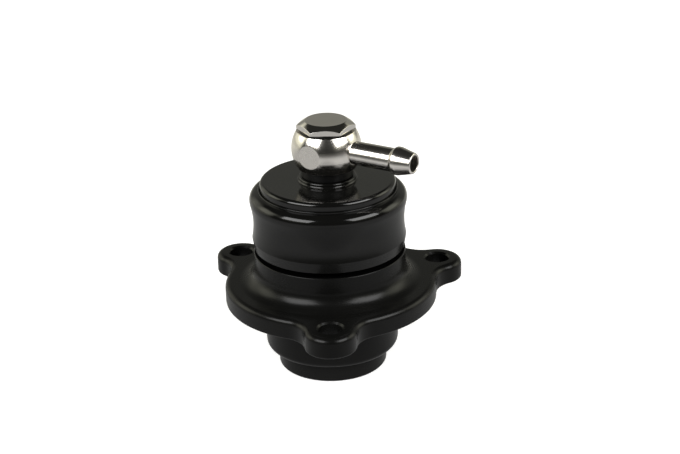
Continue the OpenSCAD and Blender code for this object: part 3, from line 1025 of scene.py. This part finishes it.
class VALVE_OT_washers(bpy.types.Operator):
    """Sealing washers under the ball and under the bolt's head"""

    bl_idname = "valve.washers"
    bl_label = "Washers"

    def execute(self, context):
        size = context.scene.valve_banjo
        finish = context.scene.valve_finish
        fibre = soft_finish(
            "washer_black", finish.washer, finish.washer_gloss, finish.washer_index, FIBRE_GRAIN
        )
        for name in ("lower_washer", "upper_washer"):
            low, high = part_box(name)
            edge = size.washer_edge * (high.z - low.z)
            corners = [
                (size.washer_hole_d / 2, low.z, edge),
                (size.washer_d / 2, low.z, edge),
                (size.washer_d / 2, high.z, edge),
                (size.washer_hole_d / 2, high.z, edge),
            ]
            add_piece(name + "_ring", turned_mesh(corners), [fibre], "valve", "washer_black", name)
        return {"FINISHED"}


def cut_flat(bm, reach, way, material):
    """Cuts a mesh square to a direction and closes it with one flat face."""
    cut = bmesh.ops.bisect_plane(
        bm,
        geom=bm.verts[:] + bm.edges[:] + bm.faces[:],
        dist=CUT,
        plane_co=reach * way,
        plane_no=way,
        clear_outer=True,
    )
    edges = [g for g in cut["geom_cut"] if isinstance(g, bmesh.types.BMEdge)]
    for face in bmesh.ops.contextual_create(bm, geom=edges)["faces"]:
        face.material_index = material
    return edges


class VALVE_OT_banjo_fitting(bpy.types.Operator):
    """Ball with its round flats, and the barbed hose tail"""

    bl_idname = "valve.banjo_fitting"
    bl_label = "Banjo fitting"

    def execute(self, context):
        size = context.scene.valve_banjo
        finish = context.scene.valve_finish
        low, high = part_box("banjo_fitting")
        mid = (low.z + high.z) / 2
        ball_r = size.ball_d / 2
        bore_r = size.ball_bore_d / 2
        quarter = math.pi / 2
        reach = math.sqrt(ball_r**2 - (size.ball_flat_d / 2) ** 2)
        rim = math.degrees(math.asin((high.z - mid) / ball_r))
        corners = [
            (bore_r, low.z, size.bore_break),
            *arc((0, mid), ball_r, -rim, rim, BALL_STEPS),
            (bore_r, high.z, size.bore_break),
        ]
        bm = turned_mesh(corners)
        merge_seams(bm)
        rims = []
        for side in (-1, 0, 1):
            rims += cut_flat(bm, reach, level_way(size.tail_way + side * quarter), 1)
        rounded(bm, [e for e in rims if e.is_valid], size.flat_break, RIM_ROUND, "EDGES")

        # Hollow tail with its barb, turned about its own axis
        along = level_way(size.tail_way)
        centre = Vector((0, 0, mid))
        tip = size.tail_reach
        cone = tip - size.barb_len
        land = cone - size.barb_land
        tube_r = size.tail_d / 2
        hole_r = size.tail_bore_d / 2
        root = reach - size.tail_root
        corners = [
            (hole_r, root),
            (tube_r, root),
            (tube_r, land - size.barb_back, size.ridge_break),
            (size.barb_d / 2, land, size.ridge_break),
            (size.barb_d / 2, cone, size.cone_break),
            (size.tip_d / 2, tip, size.cone_break),
            (hole_r, tip, size.ridge_break),
        ]
        tail = bmesh.new()
        outline = half_section(tail, corners, lambda r, x: centre + along * x + Vector((0, 0, r)))
        turn_round(tail, outline, along, centre, TAIL_STEPS)
        for face in tail.faces:
            face.material_index = 2
        take_in(bm, tail)

        flat_turn = (0, quarter, size.tail_way + quarter)
        tail_turn = (0, quarter, size.tail_way)
        plates = [
            plate_finish("bright_plate", finish.plate, finish.plate_gloss, TURNED_MARKS),
            plate_finish("milled_flat", finish.plate, finish.flat_gloss, FLAT_MARKS, centre, flat_turn),
            plate_finish("tail_plate", finish.plate, finish.tail_gloss, TAIL_MARKS, centre, tail_turn),
        ]
        add_piece("banjo_fitting_plated", bm, plates, "banjo", "bright_plate", "banjo_fitting")
        return {"FINISHED"}


class VALVE_OT_banjo_bolt(bpy.types.Operator):
    """Hexagon bolt with a bevelled head"""

    bl_idname = "valve.banjo_bolt"
    bl_label = "Banjo bolt"

    def execute(self, context):
        size = context.scene.valve_banjo
        finish = context.scene.valve_finish
        low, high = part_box("banjo_bolt")
        head_z = high.z - size.head_h
        air_end_z = head_z - size.air_bore_end
        half_af = size.hex_af / 2
        disc_r = size.disc_d / 2
        clear_r = half_af / math.cos(math.pi / HEX_SIDES) + size.head_clear
        drop = (clear_r - disc_r) * math.tan(size.head_bevel)
        shank_r = size.shank_d / 2
        corners = [
            (0, high.z),
            (disc_r, high.z, size.disc_break),
            (clear_r, high.z - drop),
            (clear_r, head_z),
            (shank_r, head_z),
            (shank_r, low.z, size.shank_break),
            (size.air_bore_d / 2, low.z),
            (size.air_bore_d / 2, air_end_z),
            (0, air_end_z),
        ]
        bm = turned_mesh(corners, True)
        merge_seams(bm)
        for side in range(HEX_SIDES):
            cut_flat(bm, half_af, level_way(size.head_turn + (side + 0.5) * math.tau / HEX_SIDES), 0)
        bm.normal_update()
        edges = [
            e
            for e in bm.edges
            if len(e.link_faces) == 2
            and e.calc_face_angle(0) > math.radians(HEAD_EDGE)
            and min(v.co.xy.length for v in e.verts) > half_af - NEAR
        ]
        rounded(bm, edges, size.head_break, SOFT_ROUND, "EDGES")
        for face in bm.faces:
            if all(v.co.z > high.z - SAME for v in face.verts):
                face.material_index = 1
        head_plate = bpy.data.materials["bright_plate"]
        disc_plate = plate_finish("turned_disc", finish.plate, finish.disc_gloss, DISC_MARKS)
        add_piece("banjo_bolt_plated", bm, [head_plate, disc_plate], "valve", "bright_plate", "banjo_bolt")
        return {"FINISHED"}


class VALVE_OT_guide_band(bpy.types.Operator):
    """Finish of the slide band inside the body"""

    bl_idname = "valve.guide_band"
    bl_label = "Guide band"

    def execute(self, context):
        finish = context.scene.valve_finish
        plastic = soft_finish(
            "slide_band", finish.slide_band, finish.band_gloss, finish.soft_index, BAND_GRAIN
        )
        paint("guide_band", plastic)
        return {"FINISHED"}


class VALVE_OT_main_spring(bpy.types.Operator):
    """Coil spring with a closed turn at each end"""

    bl_idname = "valve.main_spring"
    bl_label = "Main spring"

    def execute(self, context):
        size = context.scene.valve_piston
        finish = context.scene.valve_finish
        low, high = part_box("main_spring")
        wire_r = size.wire_d / 2
        closed = size.wire_pitch
        open_pitch = (high.z - low.z - size.wire_d - 2 * closed) / size.open_turns
        start = Matrix.Translation((size.coil_d / 2, 0, low.z + wire_r))
        start = start @ Matrix.Rotation(math.pi / 2, 4, "X")
        bm = bmesh.new()
        ring = bmesh.ops.create_circle(
            bm, cap_ends=False, segments=WIRE_SIDES, radius=wire_r, matrix=start
        )["verts"]
        coil = ring + list({e for v in ring for e in v.link_edges})
        for turns, pitch in ((1, closed), (size.open_turns, open_pitch), (1, closed)):
            coil = sweep(bm, coil, turns * math.tau, turns * COIL_STEPS, rise=pitch / COIL_STEPS)
        bmesh.ops.holes_fill(bm, edges=[e for e in bm.edges if e.is_boundary])
        wire = wire_finish("spring_steel", finish.spring, finish.spring_gloss)
        piece = add_piece(
            "main_spring_wire", bm, [wire], "valve", "spring_steel", "main_spring", crease=WIRE_CREASE
        )
        joints = frame["record"]["behaviour"]["joints"]
        lift = next(j for j in joints if j["name"] == "piston_lift")["range_m"][1]
        1 - lift / (high.z - low.z)
        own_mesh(piece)
        return {"FINISHED"}


# Stage

FLOOR_HALF = 4
FLOOR_ROUGHNESS = 0.9
SENSOR_WIDE = 36
CLIP_START = 10 * MM

# Edges on the floor: each is a distance in metres and how sharply the change comes there
STRIP_START = (0, 20.0)
STRIP_END = (0.185, 15.0)
STRIP_NARROW = 18.0
TABLE_FADE = 5.0
TABLE_BACK = (0.06, 6.0)
TABLE_DARK = 0.85
NEAR_END = (2.5 / 30, 30.0)
BEHIND_START = (0.08, 8.0)
FAR_START = (0.25, 3.0)

# Edges in the room: each is a part of a unit direction and how sharply the change comes there
CEILING = (0.6, 5.0)
FRONT = (0.12, 5.0)
BACK = (0.8, 6.0)
BACK_SLANT = 0.15
SPILL_LOW = (0.03, 3.0)
SPILL_INNER = (0.15, 4.0)
SPILL_OUTER = (0.86, 10.0)
PANEL_BACK = (0.55, 6.0)
PANEL_LOW = (0.12, 8.0)
PANEL_HIGH = (0.66, 8.0)


def floor_finish(light):
    """Pale floor to the camera; to the metal a grey table that darkens in front."""
    tree, shader, material = new_finish(
        "pale_floor", {"Roughness": FLOOR_ROUGHNESS, "Emission Strength": 1.0}
    )
    seen = node(tree, "ShaderNodeLightPath", {}, {}, "Is Camera Ray")
    place = node(tree, "ShaderNodeTexCoord", {}, {}, "Object")
    across, along = (node(tree, "ShaderNodeSeparateXYZ", {}, {0: place}, i) for i in range(2))
    radius = (across * across + along * along) ** 0.5
    # Painted shade: a darker strip straight in front of the valve, seen only in reflections
    strip = (1.0 - (across * STRIP_NARROW) ** 2).clamped()
    strip = strip * below(along, *STRIP_START) * below(radius, *STRIP_END)
    table = tint(tree, strip, light.table, light.table_front)
    ended = above(radius, light.table_end, TABLE_FADE) * below(along, *TABLE_BACK) * TABLE_DARK
    mirrored = blend(tree, ended, table, (*light.dark_room, 1))
    near = tint(tree, below(radius, *NEAR_END), BLACK, light.near_glow)
    glow = blend(tree, above(along, *BEHIND_START), near, (*light.back_glow, 1))
    shown = tint(tree, above(radius, *FAR_START), light.floor_glow, WHITE)
    feed(
        tree,
        shader,
        Base_Color=blend(tree, seen, mirrored, (*light.floor, 1)),
        Emission_Color=blend(tree, seen, glow, shown),
    )
    return material


def studio_world(light):
    """White to the camera; to the metal a room.

    It has a dark ceiling and front, light that spills from the softboxes, pale side walls
    with a bright panel each, and a duller back wall.
    """
    world = bpy.data.worlds.new("studio")
    world.use_nodes = True
    tree = world.node_tree
    seen = node(tree, "ShaderNodeLightPath", {}, {}, "Is Camera Ray")
    look = node(tree, "ShaderNodeTexCoord", {}, {}, "Generated")
    across, along, up = (node(tree, "ShaderNodeSeparateXYZ", {}, {0: look}, i) for i in range(3))
    sideways = across * across
    under_ceiling = below(up, *CEILING)
    behind_front = 1.0 - below(along, *FRONT)
    walls = tint(tree, below(along + across * BACK_SLANT, *BACK), light.back_wall, light.side_walls)
    spill = above(up, *SPILL_LOW) ** 2 * above(sideways, *SPILL_INNER) * below(sideways, *SPILL_OUTER)
    front = tint(tree, spill * under_ceiling, light.dark_room, light.side_walls)
    room = blend(tree, under_ceiling * behind_front, front, walls)
    panel = below(along, *PANEL_BACK) * above(up, *PANEL_LOW) * below(up, *PANEL_HIGH)
    panel_light = scaled(light.side_walls, light.panel_gain)
    room = blend(tree, panel * behind_front, room, (*panel_light, 1))
    shown = blend(tree, seen, room, (*WHITE, 1))
    tree.links.new(shown.socket, tree.nodes["Background"].inputs["Color"])
    return world


def softbox(name, light, turn):
    """Large soft lamp that faces the valve."""
    lamp = bpy.data.lights.new(name, "AREA")
    lamp.shape = "RECTANGLE"
    lamp.size = light.box_wide
    lamp.size_y = light.box_high
    lamp.energy = light.box_power
    level = math.cos(light.box_rise)
    way = Vector((math.sin(turn) * level, -math.cos(turn) * level, math.sin(light.box_rise)))
    box = bpy.data.objects.new(name, lamp)
    box.location = Vector((0, 0, light.box_aim)) + light.box_far * way
    box.rotation_euler = (-way).to_track_quat("-Z", "Y").to_euler()
    return box


def photo_camera(light):
    """Camera at the photograph's place, turned a little about its own axis."""
    rise, roll = light.camera_rise, light.camera_roll
    back = Vector((0, -math.cos(rise), math.sin(rise)))
    right = Vector((1, 0, 0))
    up = back.cross(right)
    turned_right = math.cos(roll) * right + math.sin(roll) * up
    turned_up = math.cos(roll) * up - math.sin(roll) * right
    place = Vector((light.target_x, 0, light.target_z)) + light.camera_far * back
    facing = Matrix((turned_right, turned_up, back)).transposed().to_4x4()
    camera_data = bpy.data.cameras.new("camera")
    camera_data.sensor_width = SENSOR_WIDE
    camera_data.lens = light.camera_lens
    camera_data.clip_start = CLIP_START
    camera = bpy.data.objects.new("camera", camera_data)
    camera.matrix_world = Matrix.Translation(place) @ facing
    return camera


class VALVE_OT_stage(bpy.types.Operator):
    """Pale floor, room, two softboxes and the camera"""

    bl_idname = "valve.stage"
    bl_label = "Stage"

    def execute(self, context):
        scene = context.scene
        light = scene.valve_stage
        ground = Matrix.Translation((0, 0, CAD_BOX[0][2]))
        bm = bmesh.new()
        bmesh.ops.create_grid(bm, x_segments=2, y_segments=2, size=FLOOR_HALF, matrix=ground)
        mesh = bpy.data.meshes.new("floor")
        bm.to_mesh(mesh)
        bm.free()
        mesh.materials.append(floor_finish(light))
        floor = bpy.data.objects.new("floor", mesh)
        scene.collection.objects.link(floor)
        scene.world = studio_world(light)
        for side, name in ((-1, "softbox_left"), (1, "softbox_right")):
            box = softbox(name, light, side * light.box_way + light.box_turn)
            scene.collection.objects.link(box)
        camera = photo_camera(light)
        scene.collection.objects.link(camera)
        scene.camera = camera
        scene.view_settings.view_transform = "Standard"
        return {"FINISHED"}


class VALVE_PT_parts(bpy.types.Panel):
    """Lists the valve's pieces and its main sizes"""

    bl_idname = "VALVE_PT_parts"
    bl_label = "Blow off valve"
    bl_space_type = "VIEW_3D"
    bl_region_type = "UI"
    bl_category = "Valve"

    def draw(self, context):
        for operator in OPERATORS:
            self.layout.operator(operator.bl_idname)
        for name, group in GROUPS.items():
            column = self.layout.column()
            column.label(text=group.__doc__)
            for key in group.__annotations__:
                column.prop(getattr(context.scene, name), key)


GROUPS = {
    "valve_flange": FlangeSizes,
    "valve_body": BodySizes,
    "valve_collar": CollarSizes,
    "valve_cap": CapSizes,
    "valve_piston": PistonSizes,
    "valve_banjo": BanjoSizes,
    "valve_finish": ValveFinish,
    "valve_stage": StageSettings,
}
OPERATORS = (
    VALVE_OT_base_body,
    VALVE_OT_seals,
    VALVE_OT_collar,
    VALVE_OT_cap,
    VALVE_OT_piston,
    VALVE_OT_washers,
    VALVE_OT_banjo_fitting,
    VALVE_OT_banjo_bolt,
    VALVE_OT_guide_band,
    VALVE_OT_main_spring,
    VALVE_OT_stage,
)


def register():
    """Makes the groups, the operators and the panel known to Blender."""
    for group in GROUPS.values():
        bpy.utils.register_class(group)
    for name, group in GROUPS.items():
        setattr(bpy.types.Scene, name, PointerProperty(type=group))
    for operator in OPERATORS:
        bpy.utils.register_class(operator)
    bpy.utils.register_class(VALVE_PT_parts)


def unregister():
    """Takes them out again, in the other order."""
    bpy.utils.unregister_class(VALVE_PT_parts)
    for operator in reversed(OPERATORS):
        bpy.utils.unregister_class(operator)
    for name in GROUPS:
        delattr(bpy.types.Scene, name)
    for group in reversed(GROUPS.values()):
        bpy.utils.unregister_class(group)


def main():
    """Builds the valve and its stage."""
    register()
    for operator in OPERATORS:
        group, call = operator.bl_idname.split(".")
        getattr(getattr(bpy.ops, group), call)()


if __name__ == "__main__":
    main()
